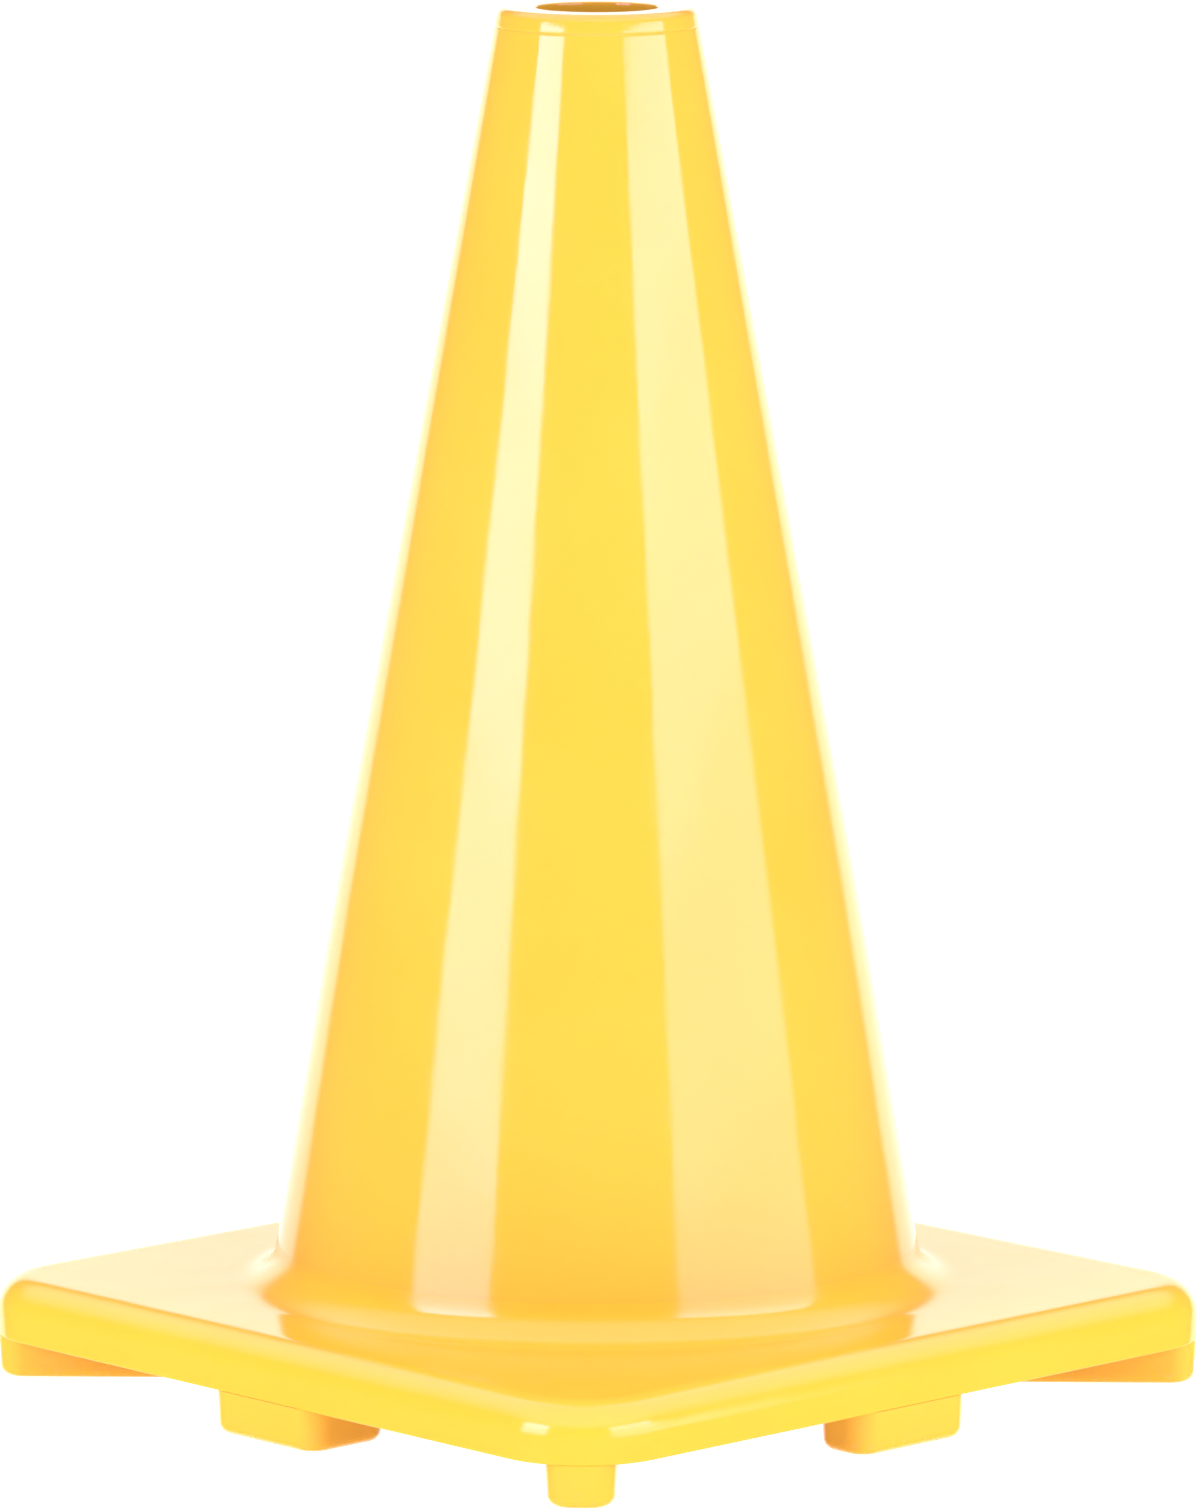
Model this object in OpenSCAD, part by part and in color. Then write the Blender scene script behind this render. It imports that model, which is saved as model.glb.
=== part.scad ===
// Yellow caution cone for a wet floor: a soft, hollow PVC sleeve whose flange is moulded into a
// square base on eight feet. The origin is on the floor, under the centre of the base, +Z up,
// and the sides of the base lie along X and Y. The front is the -Y side, and the right is +X.

/* [Overall] */
// Height of the cone, from the floor to its flat top
height = 457; // [380:1:700]
// Side of the square base
base_side = 302; // [250:1:400]

/* [Sleeve] */
// Outside diameter at the top, as if its edge were sharp
top_d = 65; // [54:0.5:80]
// Outside diameter at the knee, where the taper eases
knee_d = 174.8; // [145:0.1:210]
// Height of the knee above the floor
knee_z = 160; // [130:1:250]
// Outside diameter where the sleeve leaves the top face of the base
foot_d = 217.4; // [181:0.1:225]
// Wall of the sleeve, measured level
sleeve_wall = 2.5; // [2:0.1:4]
// Thickness of the flat top around its hole
collar_t = 6; // [4:0.5:12]
// Diameter of the hole in the top
hole_d = 40; // [30:0.5:48]
// Rounding of the top's outer edge
rim_round = 3; // [1:0.1:4]
// Depth of the mould line around the sleeve, level with the underside of the top
mould_line = 0.3; // [0.1:0.05:0.5]

/* [Flange in the base] */
// Width of the flange outside the sleeve
flange_w = 9; // [7:0.5:12]
// Thickness of the flange
flange_t = 3; // [2:0.1:4]
// Thickness of the base under the flange
flange_cover = 7; // [5:0.5:9]
// Number of lock holes through the flange
lock_count = 12; // [6:1:24]
// Diameter of a lock hole
lock_d = 5; // [3:0.5:6]

/* [Base] */
// Thickness of the slab, from its underside to its top face
slab_t = 19.1; // [15.9:0.1:26]
// Plan radius of the slab's corners
corner_r = 33; // [20:0.5:45]
// Rounding of the slab's top edge
edge_r = 11.5; // [4:0.5:14]
// Thickness of the plate between the skirt and the ring
plate_t = 5; // [4:0.5:8]
// Wall of the skirt around the slab
skirt_t = 5; // [4:0.5:8]
// Width of the solid ring around the sleeve, from the sleeve at the top face outwards
ring_w = 16; // [13:0.5:24]
// Radius of the fillet between the slab's top face and the sleeve
fillet_r = 13; // [8:0.5:18]
// Thickness of the fillet's upper edge, where it ends on the sleeve
lip_t = 0.3; // [0.2:0.1:1]

/* [Feet] */
// Height of the feet, from the floor to the underside of the slab
foot_h = 14.5; // [10:0.1:20]
// Width of a corner foot
corner_foot_w = 22.8; // [19:0.1:30]
// Length of a corner foot, along the diagonal of the base
corner_foot_l = 76; // [50:1:90]
// Gap between the end of a corner foot and the slab's corner, past where the two would touch
corner_foot_inset = 0.2; // [0.1:0.1:1]
// Length of a side foot, along the side of the base
side_foot_l = 51; // [40:0.5:70]
// Depth of the side feet at the front and the back
front_foot_depth = 36; // [28:0.5:45]
// Depth of the side feet at the right and the left
flank_foot_depth = 24; // [20:0.5:40]
// Plan radius of a foot's corners
foot_corner_r = 9; // [6:0.5:9.4]
// Rounding of a foot's bottom edge
foot_round = 3.5; // [2:0.1:4.5]

/* [Hidden] */
// The feet, anticlockwise from the +X axis: the sides' own at each quarter turn, the corners' between
SIDES = ["right", "back", "left", "front"];
CORNERS = ["back_right", "back_left", "front_left", "front_right"];

pvc_yellow = [0.99, 0.82, 0.22];
eps = 1;                                   // overrun of a cut past the face it goes through
$fn = 96;

slab_z = foot_h;                           // underside of the slab
deck_z = foot_h + slab_t;                  // top face of the slab
collar_z = height - collar_t;              // underside of the sleeve's flat top
flange_z = slab_z + flange_cover;          // underside of the flange
flange_top = flange_z + flange_t;
hollow_top = deck_z - plate_t;             // ceiling of the hollow under the slab

foot_taper = (foot_d - knee_d) / 2 / (knee_z - deck_z);
top_taper = (knee_d - top_d) / 2 / (height - knee_z);

// Radius of the sleeve's outside at a height
function sleeve_r(z) = z < knee_z ? foot_d / 2 - foot_taper * (z - deck_z)
                                  : knee_d / 2 - top_taper * (z - knee_z);
// Radius of the sleeve's inside at a height
function inside_r(z) = sleeve_r(z) - sleeve_wall;

flange_r = sleeve_r(flange_top) + flange_w;
lock_ring_r = sleeve_r(flange_top) + flange_w / 2;
ring_r = foot_d / 2 + ring_w;

// The fillet's arc touches the top face and a cone that stands lip_t outside the sleeve
foot_lean = atan(foot_taper);
fillet_x = foot_d / 2 + lip_t - foot_taper * fillet_r + fillet_r / cos(foot_lean);
fillet_z = deck_z + fillet_r;
fillet_top = fillet_z - fillet_r * sin(foot_lean);

// The axis of each slab corner, and how far from the centre a corner foot ends
corner_axis = base_side / 2 - corner_r;
corner_foot_flat = corner_foot_w / 2 - foot_corner_r;
corner_foot_end = corner_axis * sqrt(2) + foot_corner_r - corner_foot_inset
                + sqrt(pow(corner_r - foot_corner_r, 2) - pow(corner_foot_flat, 2));

// Half of a block's cross-section, from its middle out to half_w, with a rounded upper edge
module half_section(half_w, h, edge) {
    polygon([
        [0, 0], [half_w, 0], [half_w, h - edge],
        [half_w - edge, h - edge], [half_w - edge, h], [0, h]
    ]);
    translate([half_w - edge, h - edge])
        intersection() {
            circle(edge);
            square(edge + eps);
        }
}

module section(half_w, h, edge) {
    half_section(half_w, h, edge);
    mirror([1, 0]) half_section(half_w, h, edge);
}

// A block on z = 0 with rounded vertical corners and a rounded upper edge
module rounded_block(l, w, h, corner, edge) {
    rotate([90, 0, 0])
        linear_extrude(w - 2 * corner, center = true) section(l / 2, h, edge);
    rotate([90, 0, 90])
        linear_extrude(l - 2 * corner, center = true) section(w / 2, h, edge);
    for (turn = [0:3]) {
        sx = turn == 0 || turn == 3 ? 1 : -1;
        sy = turn < 2 ? 1 : -1;
        translate([sx * (l / 2 - corner), sy * (w / 2 - corner), 0])
            rotate([0, 0, 90 * turn])
                rotate_extrude(angle = 90) half_section(corner, h, edge);
    }
}

// A square plan with round corners
module rounded_square(side, corner) {
    square([side, side - 2 * corner], center = true);
    square([side - 2 * corner, side], center = true);
    for (sx = [-1, 1], sy = [-1, 1])
        translate([sx, sy] * (side / 2 - corner)) circle(corner);
}

// What the base leaves free: the sleeve with its flange, and the way in from below
module sleeve_space() {
    above = fillet_top + eps;
    rotate_extrude()
        polygon([
            [0, -eps], [inside_r(-eps), -eps],
            [inside_r(flange_z), flange_z], [flange_r, flange_z],
            [flange_r, flange_top], [sleeve_r(flange_top), flange_top],
            [sleeve_r(above), above], [0, above]
        ]);
}

// The hollow under the slab, between the skirt and the solid ring around the sleeve, cut to a
// height from a little below the slab
module hollow(top) {
    h = top - slab_z + eps;
    difference() {
        translate([0, 0, slab_z - eps])
            linear_extrude(h) rounded_square(base_side - 2 * skirt_t, corner_r - skirt_t);
        translate([0, 0, slab_z - 2 * eps]) cylinder(h = h + 2 * eps, r = ring_r);
    }
}

// All that is solid around the hollow, from the slab's underside up
module around_hollow() {
    difference() {
        translate([-base_side, -base_side, slab_z])
            cube([2 * base_side, 2 * base_side, hollow_top - slab_z + eps]);
        hollow(hollow_top + 2 * eps);
    }
}

// The lock holes of the flange, or the plugs of the base that fill them
module lock_pattern(z, h) {
    for (i = [0:lock_count - 1])
        rotate([0, 0, 360 * (i + 0.5) / lock_count])
            translate([lock_ring_r, 0, z]) cylinder(h = h, d = lock_d);
}

// The fillet around the sleeve. Its underside is level with the ceiling of the hollow
module fillet_crown() {
    inner = inside_r(fillet_top);
    rotate_extrude()
        difference() {
            translate([inner, hollow_top])
                square([fillet_x - inner, fillet_top - hollow_top]);
            translate([fillet_x, fillet_z]) circle(fillet_r);
        }
}

// Points of an arc about a centre, from one angle to another
function arc(centre, r, from, to, steps = 8) =
    [for (i = [0:steps]) let (t = from + (to - from) * i / steps) centre + r * [cos(t), sin(t)]];

module cone_sleeve() {
    rim_lean = atan(top_taper);
    rim = [top_d / 2 - rim_round * tan(45 - rim_lean / 2), height - rim_round];
    color(pvc_yellow)
        difference() {
            rotate_extrude()
                polygon(concat(
                    [[inside_r(flange_z), flange_z], [flange_r, flange_z],
                     [flange_r, flange_top], [sleeve_r(flange_top), flange_top],
                     [sleeve_r(knee_z), knee_z],
                     [sleeve_r(collar_z - mould_line), collar_z - mould_line],
                     [sleeve_r(collar_z) - mould_line, collar_z],
                     [sleeve_r(collar_z + mould_line), collar_z + mould_line]],
                    arc(rim, rim_round, rim_lean, 90),
                    [[hole_d / 2, height], [hole_d / 2, collar_z],
                     [inside_r(collar_z), collar_z], [inside_r(knee_z), knee_z]]
                ));
            lock_pattern(flange_z - eps, flange_t + 2 * eps);
        }
}

module base() {
    color(pvc_yellow) {
        difference() {
            union() {
                translate([0, 0, slab_z])
                    rounded_block(base_side, base_side, slab_t, corner_r, edge_r);
                fillet_crown();
            }
            hollow(hollow_top);
            sleeve_space();
        }
        lock_pattern(flange_z, flange_t);
    }
}

// A foot that points outwards, with its far end at a distance from the centre. It stands on the
// floor and reaches up into the hollow, where it meets the skirt and the plate
module foot(angle, l, w, end) {
    color(pvc_yellow)
        rotate([0, 0, angle])
            difference() {
                translate([end - l / 2, 0, hollow_top])
                    mirror([0, 0, 1])
                        rounded_block(l, w, hollow_top, foot_corner_r, foot_round);
                rotate([0, 0, -angle]) around_hollow();
                sleeve_space();
            }
}

module corner_foot(turn) {
    foot(45 + 90 * turn, corner_foot_l, corner_foot_w, corner_foot_end);
}

module side_foot(turn) {
    depth = turn % 2 == 0 ? flank_foot_depth : front_foot_depth;
    foot(90 * turn, depth, side_foot_l, base_side / 2);
}

cone_sleeve();
base();
for (turn = [0:3]) {
    corner_foot(turn);
    side_foot(turn);
}
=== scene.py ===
"""The looks of a yellow PVC caution cone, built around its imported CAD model."""
import math

import bpy
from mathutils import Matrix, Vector


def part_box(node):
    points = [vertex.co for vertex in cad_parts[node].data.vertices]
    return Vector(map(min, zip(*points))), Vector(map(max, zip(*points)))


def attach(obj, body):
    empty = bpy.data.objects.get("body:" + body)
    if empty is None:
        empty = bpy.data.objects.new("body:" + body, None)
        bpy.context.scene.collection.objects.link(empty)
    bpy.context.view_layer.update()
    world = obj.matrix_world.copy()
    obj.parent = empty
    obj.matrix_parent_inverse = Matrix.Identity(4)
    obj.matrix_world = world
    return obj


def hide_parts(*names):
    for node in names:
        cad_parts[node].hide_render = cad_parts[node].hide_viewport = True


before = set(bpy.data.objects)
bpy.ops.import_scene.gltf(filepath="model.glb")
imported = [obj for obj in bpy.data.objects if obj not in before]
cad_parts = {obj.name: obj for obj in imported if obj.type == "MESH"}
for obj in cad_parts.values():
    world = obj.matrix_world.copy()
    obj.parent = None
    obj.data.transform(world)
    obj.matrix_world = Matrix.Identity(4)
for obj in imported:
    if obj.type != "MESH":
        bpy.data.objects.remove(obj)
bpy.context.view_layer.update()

MM = 0.001

# ---------------------------------------------------------------- sizes, in metres
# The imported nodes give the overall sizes
BASE_LOW, BASE_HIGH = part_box("base")
SLEEVE_LOW, SLEEVE_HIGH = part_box("cone_sleeve")
FOOT_LOW, FOOT_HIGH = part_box("side_foot_front")

HEIGHT = SLEEVE_HIGH.z
HALF_SIDE = BASE_HIGH.x
SLAB_Z = BASE_LOW.z            # underside of the slab
HOLLOW_TOP = FOOT_HIGH.z       # ceiling of the hollow under the slab
FLANGE_Z = SLEEVE_LOW.z        # underside of the sleeve's flange
FLANGE_R = SLEEVE_HIGH.x
SIDE_FOOT_L = FOOT_HIGH.x - FOOT_LOW.x

# The base
PLATE_T = 5 * MM
DECK_Z = HOLLOW_TOP + PLATE_T  # top face of the slab
CORNER_R = 33 * MM
CORNER_AXIS = HALF_SIDE - CORNER_R
EDGE_R = 11.5 * MM             # rounding of the slab's top edge
SKIRT_T = 5 * MM
RING_W = 16 * MM               # the solid ring around the sleeve
FILLET_R = 13 * MM
LIP_T = 0.05 * MM              # thickness of the fillet's upper edge

# The sleeve
FOOT_R = 108.7 * MM            # outside radius where the sleeve leaves the deck
KNEE_R = 87.4 * MM
KNEE_Z = 160 * MM
KNEE_BLEND = 22 * MM           # how far the knee's bend reaches up and down
TOP_R = 32.5 * MM
WALL = 2.5 * MM
COLLAR_T = 6 * MM              # thickness of the flat top
HOLE_R = 20 * MM
RIM_ROUND = 3 * MM
LINE_HALF = 0.3 * MM           # half the width of the mould line under the top
LINE_DEPTH = 0.15 * MM
FLANGE_T = 3 * MM
RING_R = FOOT_R + RING_W
FOOT_TAPER = (FOOT_R - KNEE_R) / (KNEE_Z - DECK_Z)
TOP_TAPER = (KNEE_R - TOP_R) / (HEIGHT - KNEE_Z)

# The feet
FRONT_DEPTH = 36 * MM
FLANK_DEPTH = 24 * MM
CORNER_FOOT_L = 76 * MM
CORNER_FOOT_W = 22.8 * MM
CORNER_FOOT_INSET = 0.2 * MM   # gap to the slab's corner, past where the two would touch
FOOT_CORNER_R = 9 * MM
FOOT_ROUND = 3.6 * MM          # rounding of a foot's bottom edge
FOOT_DRAFT = 0.7 * MM          # how much a pad narrows on each side, from the slab to the floor
FOOT_CHAMFER = 0.12 * MM       # the pad's small chamfer against the slab

# How the moulding is softened
SOFT_EDGE = 0.5 * MM           # rounding of its small edges
EASE = 28                      # degrees over which the bend of a fillet or an edge fades in
FLAT_MARGINS = (3 * MM, 5 * MM)  # rings on the flats that keep their shading flat beside a bend

SLEEVE_SEGMENTS = 288          # points round the sleeve
SIDE_POINTS = 56               # points of the base's outline along each side
CORNER_POINTS = 24             # and round each corner


def sleeve_r(z):
    """Radius of the sleeve's outside at a height."""
    if z < KNEE_Z:
        return FOOT_R - FOOT_TAPER * (z - DECK_Z)
    return KNEE_R - TOP_TAPER * (z - KNEE_Z)


def inside_r(z):
    """Radius of the sleeve's inside at a height."""
    return sleeve_r(z) - WALL


# ---------------------------------------------------------------- profiles
def arc(centre, radius, start, end, steps):
    """Points of an arc about a centre, between two angles in degrees."""
    turns = (math.radians(start + (end - start) * i / steps) for i in range(steps + 1))
    return [(centre[0] + radius * math.cos(t), centre[1] + radius * math.sin(t)) for t in turns]


def eased_arc(centre, radius, start, end, steps):
    """An arc whose bend fades in from a straight line and out into one, over EASE degrees."""
    way = 1 if end > start else -1
    ease = math.radians(EASE)
    depth = radius * (1 - math.cos(ease))
    length = 3 * depth / math.tan(ease)

    def run_in(angle, turn):
        """A cubic from the straight line at an end to the arc, where their slopes agree."""
        cos, sin = math.cos(math.radians(angle)), math.sin(math.radians(angle))
        for i in range(steps):
            along = turn * (radius * math.sin(ease) + length * (i / steps - 1))
            out = radius - depth * (i / steps) ** 3
            yield (centre[0] + out * cos - along * sin, centre[1] + out * sin + along * cos)

    middle = arc(centre, radius, start + way * EASE, end - way * EASE, steps)
    return list(run_in(start, way)) + middle + list(run_in(end, -way))[::-1]


def line(a, b, steps):
    """Points strictly between two ends."""
    return [tuple(p + (q - p) * i / steps for p, q in zip(a, b)) for i in range(1, steps)]


def knee_curve(steps=16):
    """The sleeve's outside round the knee, where one taper fades into the other."""
    low = KNEE_Z - KNEE_BLEND
    points = []
    for i in range(steps + 1):
        t = i / steps
        z = low + 2 * KNEE_BLEND * t
        bend = (TOP_TAPER - FOOT_TAPER) * KNEE_BLEND * t * t
        points.append((sleeve_r(low) - FOOT_TAPER * (z - low) - bend, z))
    return points


def sleeve_profile():
    """The sleeve's closed section as (radius, height), anticlockwise from the flange's outer edge."""
    collar_z = HEIGHT - COLLAR_T
    flange_top = FLANGE_Z + FLANGE_T
    flange = [(FLANGE_R, FLANGE_Z), (FLANGE_R, flange_top)]

    knee = knee_curve()
    outer = [(sleeve_r(flange_top), flange_top)]
    outer += line(outer[-1], knee[0], 24) + knee
    outer += line(knee[-1], (sleeve_r(collar_z - LINE_HALF), collar_z - LINE_HALF), 60)
    for step in (-3, -1, 0, 1, 3):
        z = collar_z + step * LINE_HALF
        depth = LINE_DEPTH if step == 0 else 0
        outer.append((sleeve_r(z) - depth, z))

    lean = math.degrees(math.atan(TOP_TAPER))
    rim = (TOP_R - RIM_ROUND * math.tan(math.radians(45 - lean / 2)), HEIGHT - RIM_ROUND)
    outer += arc(rim, RIM_ROUND, lean, 90, 12)

    edge = (HOLE_R + SOFT_EDGE, HEIGHT - SOFT_EDGE)
    hole = line(outer[-1], (edge[0], HEIGHT), 6) + arc(edge, SOFT_EDGE, 90, 180, 5)
    hole += line(hole[-1], (HOLE_R, collar_z), 4) + [(HOLE_R, collar_z)]

    ceiling, middle, foot = ((inside_r(z), z) for z in (collar_z, KNEE_Z, FLANGE_Z))
    inner = [ceiling] + line(ceiling, middle, 40) + [middle] + line(middle, foot, 24) + [foot]
    return flange + outer + hole + inner


def base_profile():
    """The base's closed section, anticlockwise from the foot of its ring. A point is ("circle",
    radius, height) where the ring about the axis is round, and ("square", distance in from the
    outline, height) where it is square."""
    lean = math.atan(FOOT_TAPER)
    fillet_x = FOOT_R + LIP_T - FOOT_TAPER * FILLET_R + FILLET_R / math.cos(lean)
    fillet = eased_arc((fillet_x, DECK_Z + FILLET_R), FILLET_R, 180 + math.degrees(lean), 270, 12)
    fillet_top = fillet[0][1]
    flange_top = FLANGE_Z + FLANGE_T
    gap = LIP_T / 2
    seat = [
        (inside_r(SLAB_Z), SLAB_Z), (inside_r(FLANGE_Z), FLANGE_Z),
        (FLANGE_R + gap, FLANGE_Z), (FLANGE_R + gap, flange_top),
        (sleeve_r(flange_top) + gap, flange_top), (sleeve_r(fillet_top) + gap, fillet_top),
    ]
    points = [("circle", *p) for p in seat + fillet]
    points += [("circle", fillet_x + margin, DECK_Z) for margin in FLAT_MARGINS]
    points += [("square", EDGE_R + margin, DECK_Z) for margin in reversed(FLAT_MARGINS)]
    edge = eased_arc((0, DECK_Z - EDGE_R), EDGE_R, 90, 0, 12)
    points += [("square", EDGE_R - x, z) for x, z in edge]
    points += [("square", 0, DECK_Z - EDGE_R - FLAT_MARGINS[0])]
    bottom_edge = arc((0, SLAB_Z + SOFT_EDGE), SOFT_EDGE, 0, -90, 4)
    points += [("square", SOFT_EDGE - x, z) for x, z in bottom_edge]
    points += [("square", SKIRT_T, SLAB_Z), ("square", SKIRT_T, HOLLOW_TOP)]
    points += [("circle", RING_R, HOLLOW_TOP), ("circle", RING_R, SLAB_Z)]
    return points[::-1]


# ---------------------------------------------------------------- meshes
def make_object(name, verts, faces, sharp=32):
    """A smooth-shaded object whose edges stay sharp where its faces meet at more than an angle."""
    mesh = bpy.data.meshes.new(name)
    mesh.from_pydata(verts, [], faces)
    mesh.validate()
    mesh.shade_smooth()
    mesh.set_sharp_from_angle(angle=math.radians(sharp))
    obj = bpy.data.objects.new(name, mesh)
    bpy.context.scene.collection.objects.link(obj)
    return obj


def loop_faces(rows, columns):
    """Quads of a grid that closes on itself both ways: each row is a ring about the axis."""
    faces = []
    for i in range(rows):
        j = (i + 1) % rows
        for k in range(columns):
            n = (k + 1) % columns
            faces.append((i * columns + k, i * columns + n, j * columns + n, j * columns + k))
    return faces


def make_sleeve():
    """The sleeve's section, turned about the axis."""
    profile = sleeve_profile()
    verts = []
    for r, z in profile:
        for k in range(SLEEVE_SEGMENTS):
            turn = 2 * math.pi * k / SLEEVE_SEGMENTS
            verts.append((r * math.cos(turn), r * math.sin(turn), z))
    return make_object("sleeve", verts, loop_faces(len(profile), SLEEVE_SEGMENTS))


def outline_stations():
    """Where the base's rings have their points: each is (turn of the side, kind, value), with a
    value along a straight side or an angle round a corner."""
    half_angle = math.atan2(CORNER_AXIS, HALF_SIDE)
    stations = []
    for turn in range(4):
        for i in range(SIDE_POINTS):
            along = HALF_SIDE * math.tan(half_angle * (2 * i / SIDE_POINTS - 1))
            stations.append((turn, "side", along))
        for i in range(CORNER_POINTS):
            stations.append((turn, "corner", math.pi / 2 * i / CORNER_POINTS))
    return stations


def outline_point(station, inset):
    """A point of the base's outline, moved in by a distance."""
    turn, kind, value = station
    if kind == "side":
        x, y = HALF_SIDE - inset, value
    else:
        x = CORNER_AXIS + (CORNER_R - inset) * math.cos(value)
        y = CORNER_AXIS + (CORNER_R - inset) * math.sin(value)
    for _ in range(turn):
        x, y = -y, x
    return x, y


def make_base():
    """The base's section, carried round the axis in rings that are round or square."""
    stations = outline_stations()
    profile = base_profile()
    verts = []
    for kind, value, z in profile:
        for station in stations:
            if kind == "square":
                x, y = outline_point(station, value)
            else:
                x, y = outline_point(station, 0)
                share = value / math.hypot(x, y)
                x, y = x * share, y * share
            verts.append((x, y, z))
    return make_object("base_moulding", verts, loop_faces(len(profile), len(stations)))


def rounded_rectangle(length, width, radius, per_corner=14):
    """Points of a rectangle with round corners, anticlockwise about the origin."""
    points = []
    for turn, (sx, sy) in enumerate([(1, 1), (-1, 1), (-1, -1), (1, -1)]):
        centre = (sx * (length / 2 - radius), sy * (width / 2 - radius))
        points += arc(centre, radius, 90 * turn, 90 * turn + 90, per_corner)
    return points


def pad_rings():
    """The rings of a foot's pad, from the slab down to the floor, as (inset, height)."""
    slope = FOOT_DRAFT / SLAB_Z
    rings = [(FOOT_CHAMFER, SLAB_Z), (0, SLAB_Z - FOOT_CHAMFER)]
    heights = (SLAB_Z * 0.8, SLAB_Z * 0.5, FOOT_ROUND + 0.3 * MM)
    rings += [(slope * (SLAB_Z - z), z) for z in heights]
    rounding = arc((0, FOOT_ROUND), FOOT_ROUND, 0, -90, 10)
    inset = FOOT_DRAFT * (1 - FOOT_ROUND / SLAB_Z) + FOOT_ROUND
    rings += [(inset - x, z) for x, z in rounding]
    return rings


def pad_mesh(end, length, width):
    """The pad of a foot under the slab, as points and faces."""
    verts, faces = [], []
    rings = pad_rings()
    for inset, z in rings:
        radius = max(FOOT_CORNER_R - inset, 1 * MM)
        outline = rounded_rectangle(length - 2 * inset, width - 2 * inset, radius)
        verts += [(end - length / 2 + x, y, z) for x, y in outline]
    count = len(outline)
    for i in range(len(rings) - 1):
        for k in range(count):
            n = (k + 1) % count
            a, b = i * count, (i + 1) * count
            faces.append((a + n, a + k, b + k, b + n))
    faces.append(tuple(range(count)))
    last = (len(rings) - 1) * count
    faces.append(tuple(last + k for k in reversed(range(count))))
    return verts, faces


def root_mesh(end, length, width, hollow_end, across=16):
    """The root of a foot in the hollow, as points and faces. hollow_end gives how far out the
    hollow reaches at a distance from the foot's middle line."""
    verts, faces = [], []
    half = width / 2
    for z in (SLAB_Z, HOLLOW_TOP):
        for i in range(across + 1):
            y = half * (2 * i / across - 1)
            inset = max(abs(y) - half + FOOT_CORNER_R, 0)
            back = end - length + FOOT_CORNER_R - math.sqrt(FOOT_CORNER_R ** 2 - inset ** 2)
            inner = max(math.sqrt(RING_R ** 2 - y ** 2), back)
            outer = min(hollow_end(y), 2 * end - length - back)
            verts += [(inner, y, z), (outer, y, z)]
    row = 2 * (across + 1)
    for a in range(0, 2 * across, 2):
        faces.append((a, a + 2, a + 3, a + 1))
        faces.append((a + row, a + row + 1, a + row + 3, a + row + 2))
        faces.append((a, a + row, a + row + 2, a + 2))
        faces.append((a + 1, a + 3, a + row + 3, a + row + 1))
    last = 2 * across
    faces.append((0, 1, row + 1, row))
    faces.append((last, last + row, last + row + 1, last + 1))
    return verts, faces


def make_foot(name, angle, end, length, width, hollow_end):
    """A foot that points outwards at an angle, with its far end at a distance from the centre."""
    verts, faces = pad_mesh(end, length, width)
    root_verts, root_faces = root_mesh(end, length, width, hollow_end)
    faces += [tuple(len(verts) + i for i in face) for face in root_faces]
    cos, sin = math.cos(math.radians(angle)), math.sin(math.radians(angle))
    verts = [(x * cos - y * sin, x * sin + y * cos, z) for x, y, z in verts + root_verts]
    return make_object(name, verts, faces)


# ---------------------------------------------------------------- shader nodes
def set_inputs(tree, node, values):
    """Set a node's inputs, each to a value or to another node's output."""
    for key, value in values.items():
        if isinstance(value, bpy.types.NodeSocket):
            tree.links.new(value, node.inputs[key])
        else:
            node.inputs[key].default_value = value


def add_node(tree, kind, values=None, **settings):
    """A new node of a kind, with its settings and its inputs."""
    node = tree.nodes.new(kind)
    for key, value in settings.items():
        setattr(node, key, value)
    set_inputs(tree, node, values or {})
    return node


def noise(tree, place, scale, detail, rough=0.5):
    """A cloudy value between 0 and 1 over the surface; scale is in features for each metre."""
    values = {"Vector": place, "Scale": scale, "Detail": detail, "Roughness": rough}
    return add_node(tree, "ShaderNodeTexNoise", values).outputs["Fac"]


def remap(tree, value, before, after, **settings):
    """Carry a value from one range over to another, and clamp it there."""
    values = {"Value": value, "From Min": before[0], "From Max": before[1]}
    values |= {"To Min": after[0], "To Max": after[1]}
    return add_node(tree, "ShaderNodeMapRange", values, **settings).outputs["Result"]


def mix(tree, share, a, b):
    """Mix two colours, each an (r, g, b) or another node's output."""
    a, b = ((*tone, 1) if isinstance(tone, tuple) else tone for tone in (a, b))
    return add_node(tree, "ShaderNodeMix", {0: share, 6: a, 7: b}, data_type="RGBA").outputs[2]


def maths(tree, operation, *values):
    """The result of a sum or a product."""
    return add_node(tree, "ShaderNodeMath", dict(enumerate(values)), operation=operation).outputs[0]


def bump(tree, height, distance, strength, **after):
    """A normal that follows a height, on top of an earlier Normal where one is given."""
    values = {"Height": height, "Distance": distance, "Strength": strength, **after}
    return add_node(tree, "ShaderNodeBump", values).outputs["Normal"]


# ---------------------------------------------------------------- materials
# The colour of each moulding, and the warmer tone that it is mottled with
SLEEVE_TONES = (0.70, 0.362, 0.042), (0.70, 0.350, 0.037)
BASE_TONES = (0.74, 0.396, 0.036), (0.74, 0.382, 0.032)
SCUFF_TONE = (0.50, 0.33, 0.08)

# The range of roughness over each surface
SLEEVE_GLOSS = (0.07, 0.13)
BASE_GLOSS = (0.11, 0.17)
FOOT_GLOSS = (0.17, 0.24)

FOOT_SCUFF = 0.3               # share of the scuffed tone at a foot's bottom edge
SCUFF_HEIGHT = 9 * MM          # height over which the scuffs fade out
SCUFF_ROUGHNESS = 0.5          # what a full scuff would add to the roughness


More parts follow.
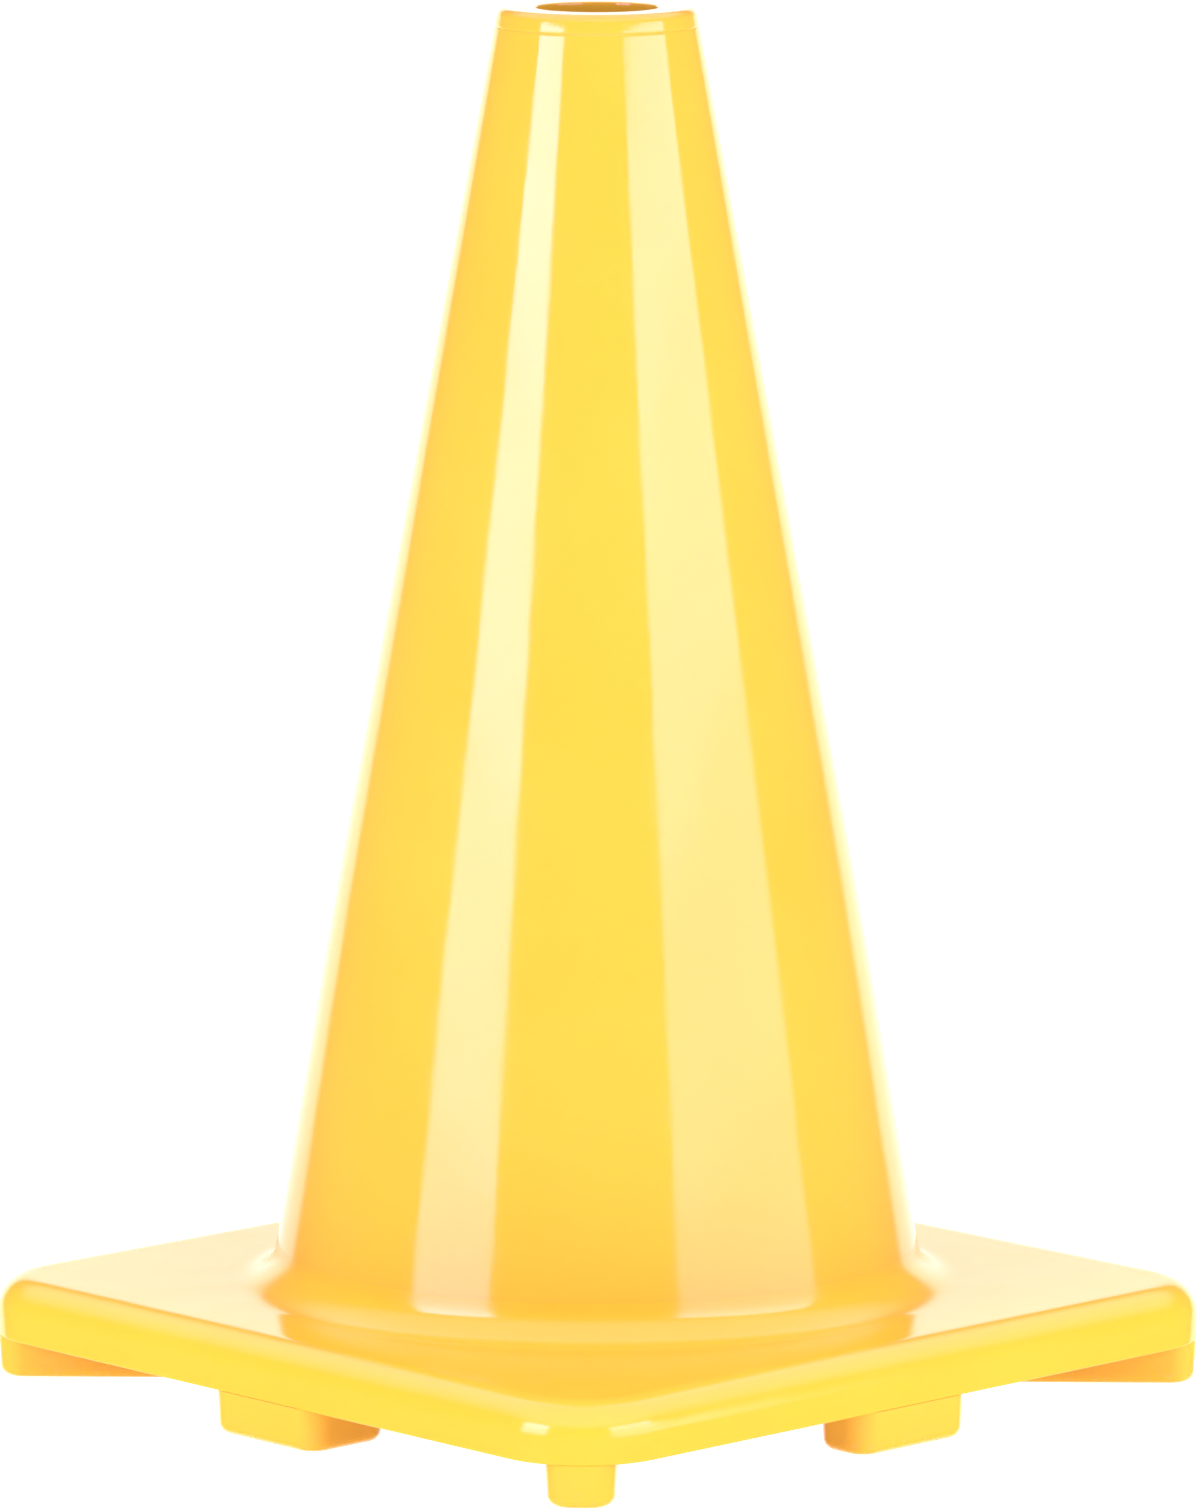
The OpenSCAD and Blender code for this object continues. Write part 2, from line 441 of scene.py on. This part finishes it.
def scuffs(tree, place, most):
    """How worn a foot is: specks that fade out above the floor."""
    height = add_node(tree, "ShaderNodeSeparateXYZ", {0: place}).outputs["Z"]
    low = remap(tree, height, (0.0, SCUFF_HEIGHT), (1, 0))
    specks = remap(tree, noise(tree, place, scale=420, detail=5, rough=0.7), (0.52, 0.66), (0, most))
    return maths(tree, "MULTIPLY", low, specks)


def pvc(name, tones, gloss, scuff=0.0):
    """Glossy soft PVC: slightly mottled colour, fine moulding texture and a wavy gloss."""
    material = bpy.data.materials.new(name)
    material.use_nodes = True
    tree = material.node_tree
    place = add_node(tree, "ShaderNodeTexCoord").outputs["Object"]

    clouds = remap(tree, noise(tree, place, scale=14, detail=2), (0.35, 0.65), (0, 1))
    tone = mix(tree, clouds, *tones)
    roughness = remap(tree, noise(tree, place, scale=60, detail=4), (0.3, 0.7), gloss)
    if scuff:
        worn = scuffs(tree, place, scuff)
        tone = mix(tree, worn, tone, SCUFF_TONE)
        roughness = maths(tree, "MULTIPLY_ADD", worn, SCUFF_ROUGHNESS, roughness)

    slow = noise(tree, place, scale=22, detail=1)
    fine = noise(tree, place, scale=650, detail=3)
    waves = bump(tree, slow, distance=0.9 * MM, strength=0.35)
    peel = bump(tree, fine, distance=0.05 * MM, strength=0.35, Normal=waves)
    set_inputs(tree, tree.nodes["Principled BSDF"], {
        "Base Color": tone,
        "Roughness": roughness,
        "Normal": peel,
        "IOR": 1.5,
        "Specular IOR Level": 0.6,
        "Specular Tint": (1.0, 0.50, 1.0, 1),
        "Subsurface Weight": 0.1,
        "Subsurface Radius": (1.0, 0.55, 0.08),
        "Subsurface Scale": 2.5 * MM,
    })
    return material


def floor_material():
    """A plain floor that glows a little, so that it is as pale as the photograph's."""
    material = bpy.data.materials.new("pale_floor")
    material.use_nodes = True
    tree = material.node_tree
    set_inputs(tree, tree.nodes["Principled BSDF"], {
        "Base Color": (0.75, 0.75, 0.75, 1),
        "Roughness": 0.6,
        "Specular IOR Level": 0.2,
        "Emission Color": (1, 1, 1, 1),
        "Emission Strength": 1.0,
    })
    return material


# ---------------------------------------------------------------- camera, lights and floor
# Directions round the object are turns about its axis, in degrees, anticlockwise from +X
CAMERA_TURN = -43.5
CAMERA_DISTANCE = 3.405
CAMERA_HEIGHT = 0.7484
CAMERA_PITCH = 9.0             # degrees below level
CAMERA_LENS = 248.3            # mm, on a 36 mm sensor
CAMERA_SHIFT = 0.002           # share of the picture's longer side

# The two tall softboxes. Levels are (height, radiance), and between two of them is one light
BOX_DISTANCE = 1.5
LEFT_TURN = CAMERA_TURN - 51.8
LEFT_WIDTH = 0.787
LEFT_LEVELS = [(0.09, 4.4), (0.245, 5.8), (0.46, 7.2), (0.66, 10.0), (0.875, 11.2)]
RIGHT_TURN = CAMERA_TURN + 54.7
RIGHT_WIDTH = 1.49
RIGHT_LEVELS = [(0.01, 2.5), (0.245, 3.4), (0.46, 4.2), (0.66, 6.3), (0.875, 7.0)]

# The radiance of the room, and what the backdrop behind the cone and the ceiling add to it
WALLS = 0.20
BACKDROP = 1.4
CEILING = 1.75
BACKDROP_DROP = 0.45           # how far down the backdrop's middle lies, for each unit away
BACKDROP_EDGE = (0.69, 0.76)   # cosines of the angles from its middle between which it fades in
CEILING_EDGE = (0.42, 0.72)    # the same from straight up

FLOOR_REACH = 20.0


def around(turn, distance, height):
    """A place at a turn about the object's axis."""
    t = math.radians(turn)
    return Vector((distance * math.cos(t), distance * math.sin(t), height))


def look_at(obj, place, target):
    """Put a camera or a light into the scene at a place, facing a target."""
    obj.location = place
    obj.rotation_euler = (target - place).to_track_quat("-Z", "Y").to_euler()
    bpy.context.scene.collection.objects.link(obj)


def make_camera():
    data = bpy.data.cameras.new("camera")
    data.sensor_width = 36
    data.lens = CAMERA_LENS
    data.shift_x = CAMERA_SHIFT
    data.clip_start, data.clip_end = 0.1, 60
    camera = bpy.data.objects.new("camera", data)
    drop = CAMERA_DISTANCE * math.tan(math.radians(CAMERA_PITCH))
    place = around(CAMERA_TURN, CAMERA_DISTANCE, CAMERA_HEIGHT)
    look_at(camera, place, Vector((0, 0, CAMERA_HEIGHT - drop)))
    bpy.context.scene.camera = camera


def softbox(name, turn, height, width, tall, radiance):
    """An upright soft light that faces the middle of the cone, given by how bright it looks."""
    data = bpy.data.lights.new(name, "AREA")
    data.shape = "RECTANGLE"
    data.size, data.size_y = width, tall
    data.energy = radiance * math.pi * width * tall
    light = bpy.data.objects.new(name, data)
    look_at(light, around(turn, BOX_DISTANCE, height), Vector((0, 0, height)))
    light.visible_camera = False


def upright_box(name, turn, width, levels):
    """A tall softbox whose brightness changes with height."""
    for i, ((low, dim), (high, bright)) in enumerate(zip(levels, levels[1:])):
        softbox(f"{name}_{i}", turn, (low + high) / 2, width, high - low, (dim + bright) / 2)


def make_world():
    """Dim walls, a white backdrop behind the object and an even glow from above."""
    world = bpy.data.worlds.new("studio")
    world.use_nodes = True
    tree = world.node_tree
    direction = add_node(tree, "ShaderNodeTexCoord").outputs["Generated"]

    def glow(axis, edge, most):
        values = {0: direction, 1: axis}
        facing = add_node(tree, "ShaderNodeVectorMath", values, operation="DOT_PRODUCT")
        return remap(tree, facing.outputs["Value"], edge, (0, most), interpolation_type="SMOOTHSTEP")

    behind = -around(CAMERA_TURN, 1, BACKDROP_DROP).normalized()
    backdrop = glow(behind, BACKDROP_EDGE, BACKDROP)
    ceiling = glow((0, 0, 1), CEILING_EDGE, CEILING)
    strength = maths(tree, "ADD", maths(tree, "ADD", backdrop, ceiling), WALLS)
    set_inputs(tree, tree.nodes["Background"], {"Strength": strength, "Color": (1, 1, 1, 1)})
    bpy.context.scene.world = world


def make_floor():
    r = FLOOR_REACH
    floor = make_object("floor", [(-r, -r, 0), (r, -r, 0), (r, r, 0), (-r, r, 0)], [(0, 1, 2, 3)])
    floor.data.materials.append(floor_material())
    floor.visible_glossy = False        # the gloss shows the dim room instead of a bright floor


# ---------------------------------------------------------------- the object
def finish_piece(obj, material, slot, *nodes):
    """Give a piece its material and tie it to the frame."""
    obj.data.materials.append(material)
    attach(obj, "root")
    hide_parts(*nodes)


def make_side_feet(material):
    def hollow_end(y):
        return HALF_SIDE - SKIRT_T

    depths = {"right": FLANK_DEPTH, "back": FRONT_DEPTH, "left": FLANK_DEPTH, "front": FRONT_DEPTH}
    for turn, (place, depth) in enumerate(depths.items()):
        foot = make_foot(f"foot_{place}", 90 * turn, HALF_SIDE, depth, SIDE_FOOT_L, hollow_end)
        finish_piece(foot, material, "foot_pvc", f"side_foot_{place}")


def make_corner_feet(material):
    reach = CORNER_AXIS * math.sqrt(2)
    flat = CORNER_FOOT_W / 2 - FOOT_CORNER_R
    touch = reach + FOOT_CORNER_R + math.sqrt((CORNER_R - FOOT_CORNER_R) ** 2 - flat ** 2)
    end = touch - CORNER_FOOT_INSET

    def hollow_end(y):
        return reach + math.sqrt((CORNER_R - SKIRT_T) ** 2 - y ** 2)

    for turn, place in enumerate(["back_right", "back_left", "front_left", "front_right"]):
        angle = 45 + 90 * turn
        foot = make_foot(f"foot_{place}", angle, end, CORNER_FOOT_L, CORNER_FOOT_W, hollow_end)
        finish_piece(foot, material, "foot_pvc", f"corner_foot_{place}")


make_camera()
upright_box("left_box", LEFT_TURN, LEFT_WIDTH, LEFT_LEVELS)
upright_box("right_box", RIGHT_TURN, RIGHT_WIDTH, RIGHT_LEVELS)
make_world()
make_floor()

sleeve_pvc = pvc("sleeve_pvc", SLEEVE_TONES, SLEEVE_GLOSS)
base_pvc = pvc("base_pvc", BASE_TONES, BASE_GLOSS)
foot_pvc = pvc("foot_pvc", BASE_TONES, FOOT_GLOSS, FOOT_SCUFF)
finish_piece(make_sleeve(), sleeve_pvc, "sleeve_pvc", "cone_sleeve")
finish_piece(make_base(), base_pvc, "base_pvc", "base")
make_side_feet(foot_pvc)
make_corner_feet(foot_pvc)

bpy.context.scene.view_settings.view_transform = "Standard"
